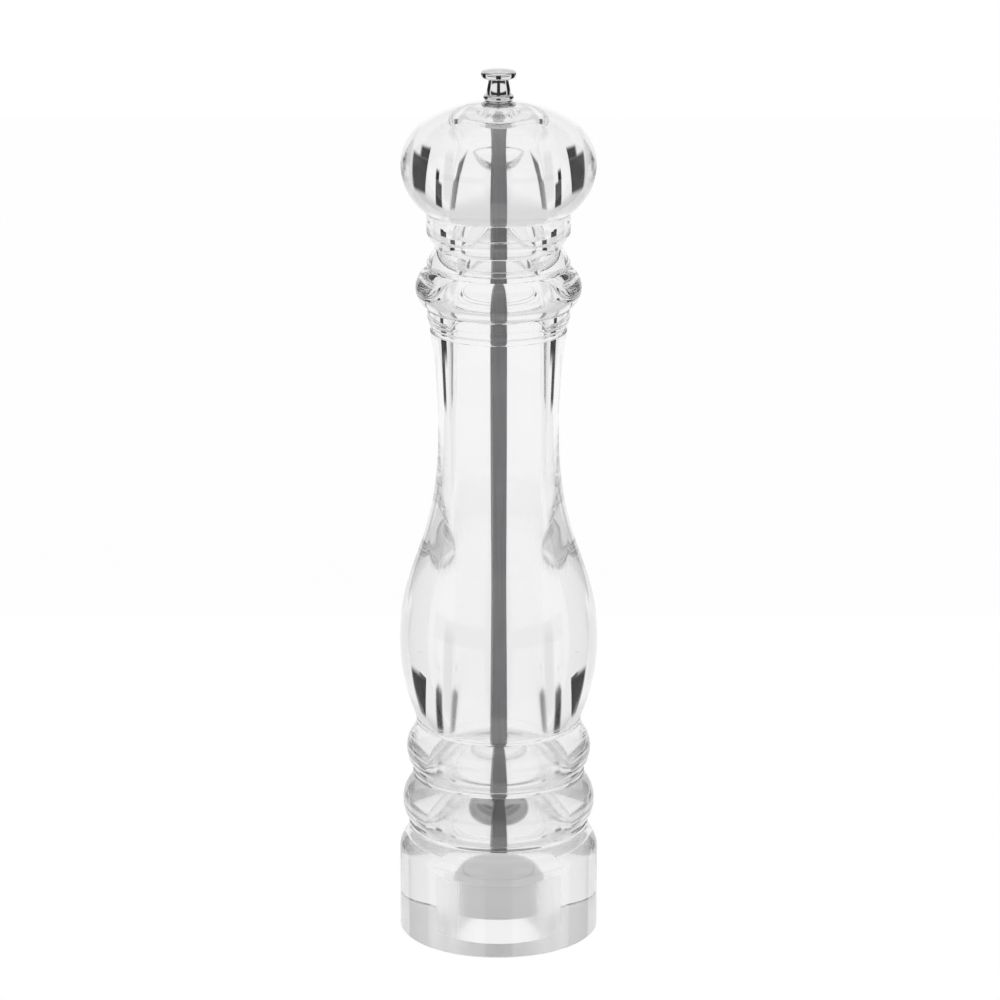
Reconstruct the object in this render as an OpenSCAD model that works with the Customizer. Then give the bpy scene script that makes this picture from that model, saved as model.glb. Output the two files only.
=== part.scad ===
// Clear turned pepper mill with a finial knob, a square drive shaft and a burr mechanism in the base.
// Millimetres, +Z up. The origin is the centre of the base's resting face.

/* [Body outline] */
// Height of the body, from the resting face to its top face
body_h = 244.4; // [225:1:265]
// Radius of the straight collar at the base
collar_r = 34.5; // [33:0.5:38]
// Height at which the collar's shoulder starts to round inwards
collar_h = 28.8; // [26:0.2:30]
// Roundness of the collar's shoulder
shoulder_round = 7.9; // [7:0.1:9]
// Bevel on the edge that the body rests on
foot_bevel = 0.4; // [0.2:0.1:1]
// Radius of the groove above the collar
groove_low_r = 31; // [29.5:0.5:32]
// Height of the groove above the collar
groove_low_z = 38.4; // [37.6:0.2:39]
// Largest radius of the lower ring
ring_low_r = 33.3; // [32:0.1:34]
// Height of the lower ring's centre
ring_low_z = 46.8; // [46:0.2:48]
// Roundness of the lower ring
ring_low_round = 11.4; // [10:0.2:14]
// Radius of the groove between the two rings
groove_mid_r = 29.4; // [28.5:0.1:30]
// Height of the groove between the two rings
groove_mid_z = 57.5; // [57:0.2:58.4]
// Largest radius of the upper ring
ring_up_r = 31.9; // [31:0.1:33]
// Height of the upper ring's centre
ring_up_z = 66; // [65.4:0.2:66.6]
// Roundness of the upper ring
ring_up_round = 10.8; // [10:0.2:13]
// Radius of the groove under the bulb
groove_bulb_r = 28.2; // [27:0.2:29]
// Height of the groove under the bulb
groove_bulb_z = 76.3; // [75.6:0.1:77]
// Half the height of each turned groove
groove_half_h = 0.9; // [0.6:0.1:1.2]
// Largest radius of the bulb
bulb_r = 34.2; // [33:0.1:36]
// Height of the bulb's widest place
bulb_z = 105.6; // [98:0.2:112]
// Roundness of the bulb's lower half
bulb_round = 72; // [60:1:90]
// How far the bulb's upper half keeps its fullness
bulb_pull = 28; // [20:1:34]
// Radius of the waist
waist_r = 20.65; // [19.5:0.05:23]
// Height of the waist
waist_z = 180; // [170:1:186]
// How far the waist keeps its slimness downwards
waist_pull = 41.6; // [30:0.2:48]
// Roundness of the flare above the waist
flare_round = 235; // [200:5:300]
// Radius of the small step under the bead
step_r = 24.3; // [24:0.1:25]
// Height of the small step under the bead
step_h = 3.2; // [2:0.1:4]
// Radius of the thin groove turned below the step
step_groove_r = 22.3; // [21.8:0.1:22.8]
// How far the thin groove lies below the step
step_groove_drop = 3.8; // [3:0.1:5]
// Largest radius of the bead near the body's top
bead_r = 28.2; // [27:0.1:29]
// Height of the bead
bead_h = 14; // [12:0.2:14.4]
// Roundness of the bead
bead_round = 7.3; // [7.3:0.1:9]
// Radius of the lip above the bead
lip_r = 24.3; // [23.5:0.1:25]
// Straight height of the lip
lip_h = 2.2; // [1:0.1:3]
// Height of the bevel from the lip to the joint
lip_bevel_h = 5; // [4:0.1:5.6]
// Radius of the body and of the head where they meet
joint_r = 21.4; // [20.5:0.1:22]

/* [Head outline] */
// Gap between the body and the head, so that the head turns freely
joint_gap = 0.2; // [0.1:0.05:0.5]
// Radius of the straight neck band of the head
band_r = 24.45; // [23.5:0.05:25]
// Height of the bevel under the neck band
band_bevel_h = 4.7; // [4:0.1:5.3]
// Height of the neck band's upper edge above the head's bottom face
band_top = 12; // [11.4:0.1:12.4]
// Radius of the undercut between the neck band and the bulge
undercut_r = 23.7; // [23:0.1:24.2]
// Height of the undercut
undercut_h = 0.7; // [0.4:0.1:1]
// Largest radius of the head
head_r = 33.05; // [32:0.05:35]
// Height of the head's widest place above its bottom face
head_mid_h = 28.2; // [27.6:0.2:29]
// Roundness of the head's lower half
head_low_round = 19.6; // [19:0.1:22]
// Roundness of the head's rim, above its widest place
head_rim_round = 16.4; // [14:0.1:17]
// Height at which the dome would close, above the head's bottom face
dome_h = 49.4; // [48.8:0.1:51]
// How far the flat seat for the knob lies below the closed dome
seat_drop = 1; // [0.7:0.1:1.4]

/* [Hollow] */
// Radius of the peppercorn chamber's straight bore
chamber_r = 16.2; // [16.1:0.1:17]
// Radius of the bore in the head's neck
neck_bore_r = 16; // [15:0.1:16]
// Height of the neck bore above the head's bottom face
neck_bore_h = 11.6; // [10.8:0.2:12.4]
// Radius of the hollow in the head
hollow_r = 16.2; // [16.1:0.1:18]
// Height of the hollow, from its cone to its flat ceiling
hollow_h = 28.4; // [27:0.2:29.4]
// Rounding between the hollow's wall and its ceiling
hollow_round = 7.3; // [5:0.1:9]
// Radius of the boss round the bush, under the hollow's ceiling
boss_r = 6.2; // [5.6:0.1:7]
// Height of the boss under the hollow's ceiling
boss_h = 3; // [1:0.2:4]
// Height of the cone that widens the neck bore to the hollow
hollow_cone_h = 0.4; // [0.2:0.1:1]
// Inner radius of the ring that centres the head in the body
ring_bore_r = 12.6; // [12:0.2:13.6]
// How far the centring ring reaches down into the body
ring_reach = 7.4; // [5:0.2:10]
// How far the centring ring is glued up into the head
ring_glued = 5; // [4:0.2:7]

/* [Drive shaft] */
// Width across the flats of the square shaft
shaft_w = 4.8; // [4:0.1:5]
// Turn of the square shaft about its axis, in degrees
shaft_turn = 12; // [0:1:44]
// Radius of the threaded ends
stud_r = 2; // [1.6:0.1:2.2]
// Length of the threaded end inside the knob
stud_up_h = 8.2; // [6:0.2:9]
// Length of the threaded end below the rotor's ledge
stud_low_h = 4.6; // [4.4:0.1:5]
// Play between the square shaft and each square hole, on each side
square_play = 0.12; // [0.05:0.01:0.25]
// Play between the threaded end and the knob's bore
thread_play = 0.08; // [0.05:0.01:0.1]

/* [Knob] */
// Thickness of the bush's flange on the head's seat
bush_flange_h = 0.45; // [0.4:0.05:0.9]
// Radius of the bush's flange
bush_flange_r = 5.8; // [5.4:0.1:7]
// Radius of the bush's barrel
bush_r = 4.5; // [4.2:0.1:5]
// Thickness of the loose washer under the knob
knob_washer_h = 0.4; // [0.3:0.05:0.8]
// Radius of the loose washer under the knob
knob_washer_r = 5; // [4.6:0.1:5.6]
// Play under the knob, so that it turns freely
knob_play = 0.05; // [0.02:0.01:0.2]
// Radius of the knob's lower edge
knob_base_r = 4.3; // [4:0.1:4.8]
// Height of the knob's lower cone
knob_base_h = 0.6; // [0.3:0.1:1]
// Radius of the knob's lower collar
knob_collar_r = 5.2; // [4.8:0.1:5.8]
// Height of the knob's lower collar
knob_collar_h = 2.3; // [1.8:0.1:2.8]
// Radius of the knob's neck at its foot
knob_neck_low_r = 4.1; // [3.8:0.1:4.4]
// Radius of the knob's neck under the disc
knob_neck_up_r = 3.4; // [3.1:0.1:3.8]
// Height of the knob's neck
knob_neck_h = 5.4; // [4:0.1:6]
// Radius of the knob's top disc
knob_disc_r = 6; // [5.2:0.1:7]
// Height of the knob's top disc
knob_disc_h = 2.9; // [2.4:0.1:3.4]
// Rounding of the disc's edges
knob_disc_round = 0.9; // [0.5:0.1:1.1]
// Rise of the disc's domed top
knob_dome_h = 0.5; // [0.3:0.1:0.8]

/* [Mechanism] */
// Height of the ledge at the chamber's foot that the mechanism rests on
rest_z = 21.8; // [21:0.2:24]
// Radius of the bore under that ledge, which the housing's skirt hangs in
bore_r = 14.1; // [14.1:0.1:15]
// Play between the chamber's wall and the mechanism's flanges
flange_play = 0.2; // [0.1:0.05:0.4]
// Thickness of the bridge
bridge_h = 3; // [2.6:0.1:3.6]
// Inner radius of the bridge's ring
bridge_open_r = 12.7; // [12:0.1:13]
// Width of the bridge's bar
bar_w = 8; // [6:0.2:9]
// Radius of the bridge's hub
hub_r = 6.2; // [5.8:0.1:6.6]
// Radius of the bearing's outside
bearing_r = 4.6; // [4.4:0.1:4.8]
// Radius of the bearing's lip, on top of the hub
bearing_lip_r = 5.6; // [5.2:0.1:6]
// Thickness of the bearing's lip
bearing_lip_h = 0.8; // [0.5:0.1:1.2]
// Play between the bearing and the corners of the square shaft
bearing_play = 0.1; // [0.05:0.01:0.15]
// Thickness of the housing's flange
flange_h = 2.2; // [1.8:0.1:2.8]
// Outer radius of the housing's skirt
skirt_r = 13.8; // [13.5:0.1:14]
// Height of the housing's skirt below its flange
skirt_h = 13; // [12.6:0.1:13.6]
// Radius of the seat for the stator inside the housing
stator_r = 11.9; // [11.6:0.1:12.2]
// Inner radius of the lip that the stator rests on
housing_lip_r = 10.6; // [10.4:0.1:11]
// Thickness of the lip that the stator rests on
housing_lip_h = 1.4; // [1:0.1:1.8]
// Height of the ring that is pressed in above the bridge
keeper_h = 2; // [1.6:0.1:2.6]
// Inner radius of the ring that is pressed in above the bridge
keeper_bore_r = 15.2; // [15.1:0.1:15.4]
// Distance of the bridge's screws from the axis
screw_offset = 13.4; // [13.3:0.1:13.5]
// Radius of the screws' shanks
screw_r = 1.1; // [0.9:0.1:1.1]
// Radius of the screws' heads
screw_head_r = 1.6; // [1.5:0.1:1.6]
// Height of the screws' heads
screw_head_h = 1.1; // [0.8:0.1:1.4]
// Width of the slot in each screw's head
screw_slot_w = 0.5; // [0.4:0.1:0.7]

/* [Burrs] */
// Height of the stator
stator_h = 11; // [10.4:0.1:11.6]
// Radius of the stator's throat, at its narrowest
throat_r = 8.9; // [8.6:0.1:9.2]
// Radius of the stator's mouth, at its top
mouth_r = 10.9; // [10.6:0.1:11.2]
// Radius of the stator's outlet, at its bottom
outlet_r = 9.9; // [9.7:0.1:10.2]
// Height of the fine grinding cone at the stator's bottom
fine_h = 3; // [2.6:0.1:3.4]
// Gap between the rotor and the stator at the finest grind
burr_gap = 0.35; // [0.3:0.05:0.5]
// Number of flutes in the stator
stator_flutes = 18; // [12:1:24]
// Number of flutes in the rotor
rotor_flutes = 10; // [6:1:12]
// Depth of the flutes
flute_depth = 0.7; // [0.5:0.1:0.9]
// Height of the rotor
rotor_h = 8.4; // [8:0.1:8.8]
// Radius of the rotor's nose
rotor_nose_r = 5.2; // [5:0.1:5.6]
// Thickness of the rotor's ledge, which the nut clamps
rotor_ledge_h = 1.6; // [1.4:0.1:2]
// Radius of the pocket for the nut under the rotor
nut_pocket_r = 4.9; // [4.8:0.1:5.2]
// Depth of the pocket for the nut under the rotor
nut_pocket_h = 3.4; // [3.2:0.1:3.6]
// Width across the flats of the nut
nut_w = 7; // [6.4:0.1:7]
// Thickness of the nut
nut_h = 2.3; // [2:0.1:2.4]
// Thickness of the washer above the nut
nut_washer_h = 0.5; // [0.4:0.05:0.6]
// Radius of the washer above the nut
nut_washer_r = 4.2; // [4:0.1:4.5]
// How far the rotor can be drawn up from the coarsest grind, at rest, to the finest
grind_travel = 1.4; // [1:0.1:1.6]

/* [Spring] */
// Thickness of the thrust washer under the bearing
thrust_h = 0.6; // [0.5:0.1:0.8]
// Radius of the thrust washer
thrust_r = 5.6; // [5.4:0.1:6]
// Play above the thrust washer
thrust_play = 0.05; // [0.02:0.01:0.2]
// Thickness of the spring's seat on the rotor
seat_washer_h = 0.5; // [0.4:0.1:0.6]
// Thickness of the spring's wire
wire_d = 0.7; // [0.5:0.1:0.8]
// Radius of the spring, to the middle of its wire
spring_r = 4.3; // [4.2:0.1:4.6]
// Number of turns in the spring
spring_turns = 3; // [2:0.5:3.5]

/* [Hidden] */
$fn = 96;
FINE_ARC = 20;
COARSE_ARC = 8;
CUT = 1;
HALF = 0.5;
DIAGONAL = sqrt(2);
HEX_SIDES = 6;
SPRING_SIDES = 8;
SPRING_STEPS = 20;
SCREW_COUNT = 2;

// Heights in the body, upwards from the base
lip_z = body_h - lip_bevel_h;
bead_top_z = lip_z - lip_h;
bead_z = bead_top_z - bead_h * HALF;
bead_low_z = bead_top_z - bead_h;
step_z = bead_low_z - step_h;
step_groove_z = step_z - step_groove_drop;
step_groove_top_z = step_groove_z + groove_half_h;

// Heights in the head
head_z = body_h + joint_gap;
band_z = head_z + band_bevel_h;
band_top_z = head_z + band_top;
bulge_z = band_top_z + undercut_h;
head_mid_z = head_z + head_mid_h;
dome_z = head_z + dome_h;
seat_z = dome_z - seat_drop;
ring_top_z = head_z + ring_glued;
ring_low_edge_z = head_z - ring_reach;
hollow_z = head_z + neck_bore_h;
hollow_wall_z = hollow_z + hollow_cone_h;
ceiling_z = hollow_wall_z + hollow_h;
boss_z = ceiling_z - boss_h;
bush_h = seat_z - boss_z;

// The dome is an arc that runs on smoothly from the rim's arc
rim_in = head_r - head_rim_round;
dome_rise = dome_z - head_mid_z;
dome_round = (rim_in * rim_in + dome_rise * dome_rise - head_rim_round * head_rim_round)
    / (2 * (dome_rise - head_rim_round));
dome_centre_z = dome_z - dome_round;
rim_angle = atan2(head_mid_z - dome_centre_z, rim_in);
seat_angle = asin((seat_z - dome_centre_z) / dome_round);

// Heights in the knob
knob_washer_z = seat_z + bush_flange_h;
knob_z = knob_washer_z + knob_washer_h + knob_play;
knob_collar_z = knob_z + knob_base_h;
knob_neck_z = knob_collar_z + knob_collar_h;
knob_disc_z = knob_neck_z + knob_neck_h;
knob_rim_z = knob_disc_z + knob_disc_h - knob_dome_h;
knob_top_z = knob_disc_z + knob_disc_h;
knob_dome_round = (pow(knob_disc_r - knob_disc_round, 2) + knob_dome_h * knob_dome_h) / (2 * knob_dome_h);

// Heights in the mechanism, from the ledge in the body
flange_z = rest_z;
bridge_z = flange_z + flange_h;
bridge_top_z = bridge_z + bridge_h;
skirt_z = flange_z - skirt_h;
stator_z = skirt_z + housing_lip_h;
throat_z = stator_z + fine_h;
rotor_z = stator_z - grind_travel;
rotor_top_z = rotor_z + rotor_h;
rotor_throat_z = rotor_z + fine_h;
ledge_z = rotor_z + nut_pocket_h;
ledge_top_z = ledge_z + rotor_ledge_h;
nut_z = ledge_z - nut_washer_h - nut_h;
seat_washer_z = rotor_top_z;
thrust_z = bridge_z - thrust_play - thrust_h;
spring_low_z = seat_washer_z + seat_washer_h;
spring_h = thrust_z - spring_low_z;
flange_r = chamber_r - flange_play;
square_hole_w = shaft_w + 2 * square_play;
bearing_bore_r = shaft_w * HALF * DIAGONAL + bearing_play;

// The square of the shaft ends under the knob's washer and on the rotor's ledge
square_top_z = seat_z - square_play - grind_travel;
stud_top_z = square_top_z + stud_up_h;
stud_bore_top_z = stud_top_z + grind_travel + thread_play + HALF;

// Outline points of a convex turned form of largest radius r at height zc, from z0 to z1
function bead_arc(r, zc, round, z0, z1, n) =
    let (a0 = asin((z0 - zc) / round), a1 = asin((z1 - zc) / round))
    [for (i = [0:n]) let (a = a0 + (a1 - a0) * i / n) [r - round + round * cos(a), zc + round * sin(a)]];

// Outline points of a turned groove of smallest radius r at height zc
function groove_arc(r, zc, half_h) =
    [for (i = [0:COARSE_ARC]) let (a = -45 + 90 * i / COARSE_ARC)
        [r + half_h * DIAGONAL * (1 - cos(a)), zc + half_h * DIAGONAL * sin(a)]];

// Outline points of a plain arc about [rc, zc]
function arc(rc, zc, round, a0, a1, n) =
    [for (i = [0:n]) let (a = a0 + (a1 - a0) * i / n) [rc + round * cos(a), zc + round * sin(a)]];

// Outline points of a smooth curve from p0 to p3, pulled towards p1 and p2
function curve(p0, p1, p2, p3, n) =
    [for (i = [0:n]) let (t = i / n, s = 1 - t)
        s * s * s * p0 + 3 * s * s * t * p1 + 3 * s * t * t * p2 + t * t * t * p3];

// Outline points of the flare above the waist, from z0 to z1
function flare(z0, z1, n) =
    [for (i = [1:n]) let (z = z0 + (z1 - z0) * i / n)
        [waist_r + (z - waist_z) * (z - waist_z) / (2 * flare_round), z]];

// Outside of the body, from its foot to its top face
function body_outline() = concat(
    [[collar_r - foot_bevel, 0], [collar_r, foot_bevel]],
    bead_arc(collar_r, collar_h, shoulder_round, collar_h, groove_low_z - 2 * groove_half_h, FINE_ARC),
    groove_arc(groove_low_r, groove_low_z, groove_half_h),
    bead_arc(ring_low_r, ring_low_z, ring_low_round,
        groove_low_z + groove_half_h, groove_mid_z - groove_half_h, FINE_ARC),
    groove_arc(groove_mid_r, groove_mid_z, groove_half_h),
    bead_arc(ring_up_r, ring_up_z, ring_up_round,
        groove_mid_z + groove_half_h, groove_bulb_z - groove_half_h, FINE_ARC),
    groove_arc(groove_bulb_r, groove_bulb_z, groove_half_h),
    bead_arc(bulb_r, bulb_z, bulb_round, groove_bulb_z + groove_half_h, bulb_z, FINE_ARC),
    [for (i = [1:FINE_ARC]) curve([bulb_r, bulb_z], [bulb_r, bulb_z + bulb_pull],
        [waist_r, waist_z - waist_pull], [waist_r, waist_z], FINE_ARC)[i]],
    flare(waist_z, step_groove_z - groove_half_h, FINE_ARC),
    groove_arc(step_groove_r, step_groove_z, groove_half_h),
    flare(step_groove_top_z, step_z, 2),
    [[step_r, step_z], [step_r, bead_low_z]],
    bead_arc(bead_r, bead_z, bead_round, bead_low_z, bead_top_z, FINE_ARC),
    [[lip_r, bead_top_z], [lip_r, lip_z], [joint_r, body_h]]
);

// Outside of the head, from its bottom face to the knob's seat
function head_outline() = concat(
    [[joint_r, head_z], [band_r, band_z], [band_r, band_top_z], [undercut_r, band_top_z], [undercut_r, bulge_z]],
    bead_arc(head_r, head_mid_z, head_low_round, bulge_z, head_mid_z, FINE_ARC),
    [for (i = [1:FINE_ARC]) arc(rim_in, head_mid_z, head_rim_round, 0, rim_angle, FINE_ARC)[i]],
    [for (i = [1:COARSE_ARC]) arc(0, dome_centre_z, dome_round, rim_angle, seat_angle, COARSE_ARC)[i]]
);

// Inside of the head, from its top hole down to its bottom face
function head_hollow() = concat(
    [[bush_r, seat_z], [bush_r, boss_z], [boss_r, boss_z], [boss_r, ceiling_z]],
    arc(hollow_r - hollow_round, ceiling_z - hollow_round, hollow_round, 90, 0, FINE_ARC),
    [[hollow_r, hollow_wall_z], [neck_bore_r, hollow_z], [neck_bore_r, head_z]]
);

// Outside of the knob, from its lower edge to the middle of its domed top
function knob_outline() = concat(
    [[knob_base_r, knob_z], [knob_neck_low_r + HALF, knob_collar_z]],
    arc(knob_collar_r - knob_collar_h * HALF, knob_collar_z + knob_collar_h * HALF,
        knob_collar_h * HALF, -80, 80, FINE_ARC),
    [[knob_neck_low_r, knob_neck_z]],
    [[knob_neck_up_r, knob_disc_z]],
    arc(knob_disc_r - knob_disc_round, knob_disc_z + knob_disc_round, knob_disc_round, -90, 0, COARSE_ARC),
    arc(knob_disc_r - knob_disc_round, knob_rim_z - knob_disc_round, knob_disc_round, 0, 90, COARSE_ARC),
    [for (i = [1:COARSE_ARC]) let (r = (knob_disc_r - knob_disc_round) * (1 - i / COARSE_ARC))
        [r, knob_top_z - knob_dome_round + sqrt(knob_dome_round * knob_dome_round - r * r)]]
);

// A ring with a plain bore
module ring(outer_r, inner_r, h, z) {
    translate([0, 0, z]) difference() {
        cylinder(r = outer_r, h = h);
        translate([0, 0, -CUT]) cylinder(r = inner_r, h = h + 2 * CUT);
    }
}

// A square prism about the axis, turned as the shaft is
module square_prism(w, z0, z1) {
    rotate([0, 0, shaft_turn]) translate([-w * HALF, -w * HALF, z0]) cube([w, w, z1 - z0]);
}

// Straight flutes round a burr: slim three-sided cuts that run down its wall
module flutes(count, z0, r0, z1, r1, out) {
    lean = atan2(r1 - r0, z1 - z0);
    for (i = [0:count - 1])
        rotate([0, 0, 360 * i / count]) translate([r0, 0, z0]) rotate([0, lean, 0])
            translate([0, 0, -CUT * HALF]) linear_extrude(norm([r1 - r0, z1 - z0]) + CUT)
                polygon([[-out * flute_depth, 0], [out * HALF, -flute_depth], [out * HALF, flute_depth]]);
}

module body_shell() {
    color("white", 0.35) difference() {
        rotate_extrude() polygon(concat(body_outline(), [[0, body_h], [0, 0]]));
        translate([0, 0, -CUT]) cylinder(r = bore_r, h = rest_z + 2 * CUT);
        translate([0, 0, rest_z]) cylinder(r = chamber_r, h = body_h - rest_z + CUT);
    }
}

module head_shell() {
    color("white", 0.35) rotate_extrude() polygon(concat(head_outline(), head_hollow()));
}

module centring_ring() {
    color("white", 0.4) ring(neck_bore_r, ring_bore_r, ring_reach + ring_glued, ring_low_edge_z);
}

module drive_bush() {
    color("silver") difference() {
        union() {
            translate([0, 0, boss_z]) cylinder(r = bush_r, h = bush_h);
            translate([0, 0, seat_z]) cylinder(r = bush_flange_r, h = bush_flange_h);
        }
        square_prism(square_hole_w, boss_z - CUT, knob_washer_z + CUT);
    }
}

module top_knob() {
    color("gainsboro") difference() {
        rotate_extrude() polygon(concat([[0, knob_z]], knob_outline()));
        translate([0, 0, knob_z - CUT])
            cylinder(r = stud_r + thread_play, h = stud_bore_top_z - knob_z + CUT);
    }
}

module knob_washer() {
    color("silver") ring(knob_washer_r, stud_r + 2 * thread_play, knob_washer_h, knob_washer_z);
}

module drive_shaft() {
    color("gray") union() {
        square_prism(shaft_w, ledge_top_z, square_top_z);
        translate([0, 0, square_top_z - CUT]) cylinder(r = stud_r, h = stud_up_h + CUT);
        translate([0, 0, ledge_top_z - stud_low_h]) cylinder(r = stud_r, h = stud_low_h + CUT);
    }
}

module bearing_bridge() {
    color("lightgray") difference() {
        union() {
            ring(flange_r, bridge_open_r, bridge_h, bridge_z);
            translate([0, 0, bridge_z]) cylinder(r = hub_r, h = bridge_h);
            intersection() {
                translate([-flange_r, -bar_w * HALF, bridge_z]) cube([2 * flange_r, bar_w, bridge_h]);
                translate([0, 0, bridge_z]) cylinder(r = flange_r - HALF, h = bridge_h);
            }
        }
        translate([0, 0, bridge_z - CUT]) cylinder(r = bearing_r, h = bridge_h + 2 * CUT);
        screw_places() translate([0, 0, bridge_z - CUT]) cylinder(r = screw_r, h = bridge_h + 2 * CUT);
    }
}

module shaft_bearing() {
    color("whitesmoke") difference() {
        union() {
            translate([0, 0, bridge_z]) cylinder(r = bearing_r, h = bridge_h);
            translate([0, 0, bridge_top_z]) cylinder(r = bearing_lip_r, h = bearing_lip_h);
        }
        translate([0, 0, bridge_z - CUT])
            cylinder(r = bearing_bore_r, h = bridge_h + bearing_lip_h + 2 * CUT);
    }
}

// Puts its children at each of the bridge's screws
module screw_places() {
    for (i = [0:SCREW_COUNT - 1])
        rotate([0, 0, 360 * i / SCREW_COUNT]) translate([screw_offset, 0, 0]) children();
}

module bridge_screws() {
    color("silver") screw_places() difference() {
        union() {
            translate([0, 0, flange_z]) cylinder(r = screw_r, h = flange_h + bridge_h + screw_head_h * HALF);
            translate([0, 0, bridge_top_z]) cylinder(r = screw_head_r, h = screw_head_h);
        }
        translate([-screw_head_r - CUT, -screw_slot_w * HALF, bridge_top_z + screw_head_h * HALF])
            cube([2 * (screw_head_r + CUT), screw_slot_w, screw_head_h]);
    }
}

module burr_housing() {
    color("lightgray") difference() {
        union() {
            translate([0, 0, flange_z]) cylinder(r = flange_r, h = flange_h);
            translate([0, 0, skirt_z]) cylinder(r = skirt_r, h = skirt_h + CUT);
        }
        translate([0, 0, stator_z]) cylinder(r = stator_r, h = bridge_z - stator_z + CUT);
        translate([0, 0, skirt_z - CUT]) cylinder(r = housing_lip_r, h = housing_lip_h + 2 * CUT);
        screw_places() translate([0, 0, flange_z - CUT]) cylinder(r = screw_r, h = flange_h + 2 * CUT);
    }
}

module stator_burr() {
    color("lightgray") difference() {
        rotate_extrude() polygon([
            [stator_r, stator_z], [stator_r, stator_z + stator_h], [mouth_r, stator_z + stator_h],
            [throat_r, throat_z], [outlet_r, stator_z]
        ]);
        flutes(stator_flutes, throat_z, throat_r, stator_z + stator_h, mouth_r, -1);
    }
}

module keeper_ring() {
    color("lightgray") ring(chamber_r, keeper_bore_r, keeper_h, bridge_top_z);
}

module thrust_washer() {
    color("silver") difference() {
        translate([0, 0, thrust_z]) cylinder(r = thrust_r, h = thrust_h);
        square_prism(square_hole_w, thrust_z - CUT, thrust_z + thrust_h + CUT);
    }
}

// A coil spring: a ring of points is carried along the helix and closed at both ends
module grind_spring() {
    rings = spring_turns * SPRING_STEPS;
    rise = spring_h - wire_d;
    points = [for (i = [0:rings], k = [0:SPRING_SIDES - 1])
        let (a = 360 * i / SPRING_STEPS, b = 360 * k / SPRING_SIDES, r = spring_r + wire_d * HALF * cos(b))
        [r * cos(a), r * sin(a), spring_low_z + wire_d * HALF * (1 + sin(b)) + rise * i / rings]];
    walls = [for (i = [0:rings - 1], k = [0:SPRING_SIDES - 1])
        let (m = (k + 1) % SPRING_SIDES, p = i * SPRING_SIDES, q = p + SPRING_SIDES)
        [p + k, q + k, q + m, p + m]];
    first = [for (k = [0:SPRING_SIDES - 1]) k];
    last = [for (k = [SPRING_SIDES - 1:-1:0]) rings * SPRING_SIDES + k];
    color("silver") polyhedron(points = points, faces = concat(walls, [first, last]), convexity = 4);
}

module spring_seat() {
    color("silver") difference() {
        translate([0, 0, seat_washer_z]) cylinder(r = rotor_nose_r, h = seat_washer_h);
        square_prism(square_hole_w, seat_washer_z - CUT, seat_washer_z + seat_washer_h + CUT);
    }
}

module rotor_burr() {
    color("darkgray") difference() {
        rotate_extrude() polygon([
            [0, rotor_z], [outlet_r - burr_gap, rotor_z], [throat_r - burr_gap, rotor_throat_z],
            [rotor_nose_r, rotor_top_z], [0, rotor_top_z]
        ]);
        flutes(rotor_flutes, rotor_throat_z, throat_r - burr_gap, rotor_top_z, rotor_nose_r, 1);
        translate([0, 0, rotor_z - CUT]) cylinder(r = nut_pocket_r, h = nut_pocket_h + CUT);
        translate([0, 0, ledge_z - CUT]) cylinder(r = stud_r, h = rotor_ledge_h + 2 * CUT);
        square_prism(shaft_w, ledge_top_z, rotor_top_z + CUT);
    }
}

module nut_washer() {
    color("silver") ring(nut_washer_r, stud_r, nut_washer_h, ledge_z - nut_washer_h);
}

module rotor_nut() {
    color("silver") translate([0, 0, nut_z]) difference() {
        cylinder(r = nut_w * HALF / cos(180 / HEX_SIDES), h = nut_h, $fn = HEX_SIDES);
        translate([0, 0, -CUT]) cylinder(r = stud_r, h = nut_h + 2 * CUT);
    }
}

body_shell();
head_shell();
centring_ring();
drive_bush();
top_knob();
knob_washer();
drive_shaft();
bearing_bridge();
shaft_bearing();
bridge_screws();
burr_housing();
stator_burr();
keeper_ring();
thrust_washer();
grind_spring();
spring_seat();
rotor_burr();
nut_washer();
rotor_nut();
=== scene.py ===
"""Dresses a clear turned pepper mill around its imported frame.

It models the shells, the knob, the shaft and the spring, gives every piece its finish, and sets up the stage.
"""

import logging
import math
from dataclasses import dataclass, field
from enum import Enum

import bpy
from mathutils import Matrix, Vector


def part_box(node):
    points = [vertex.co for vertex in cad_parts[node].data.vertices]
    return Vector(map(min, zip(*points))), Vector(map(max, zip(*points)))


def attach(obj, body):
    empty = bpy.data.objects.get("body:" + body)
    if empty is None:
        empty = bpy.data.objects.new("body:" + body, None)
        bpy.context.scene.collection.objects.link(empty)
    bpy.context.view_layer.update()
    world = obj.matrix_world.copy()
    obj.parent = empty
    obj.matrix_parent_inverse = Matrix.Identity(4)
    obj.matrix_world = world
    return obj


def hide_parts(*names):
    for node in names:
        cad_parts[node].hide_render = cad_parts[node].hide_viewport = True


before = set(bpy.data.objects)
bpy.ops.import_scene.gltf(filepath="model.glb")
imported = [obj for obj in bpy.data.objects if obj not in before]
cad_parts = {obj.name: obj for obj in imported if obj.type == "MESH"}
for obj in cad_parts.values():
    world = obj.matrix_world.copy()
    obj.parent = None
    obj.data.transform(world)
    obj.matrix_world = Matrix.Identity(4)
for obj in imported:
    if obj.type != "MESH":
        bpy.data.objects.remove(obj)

log = logging.getLogger("pepper_mill")

Point = tuple[float, float]
Colour = tuple[float, float, float]
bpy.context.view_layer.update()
FULL_TURN = 2.0 * math.pi
MERGE = 1e-6
FOOT_FACE = 0.0002
WHITE: Colour = (1.0, 1.0, 1.0)
GRAIN_SPAN = (0.3, 0.7)
CLOUD_SPAN = (0.45, 0.75)


class Body(Enum):
    """The rigid bodies of the frame that pieces ride on."""

    BODY = "body"
    TURNING_SET = "turning_set"
    SPINDLE = "spindle"
    HEAD = "head"
    KNOB = "knob"


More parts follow.
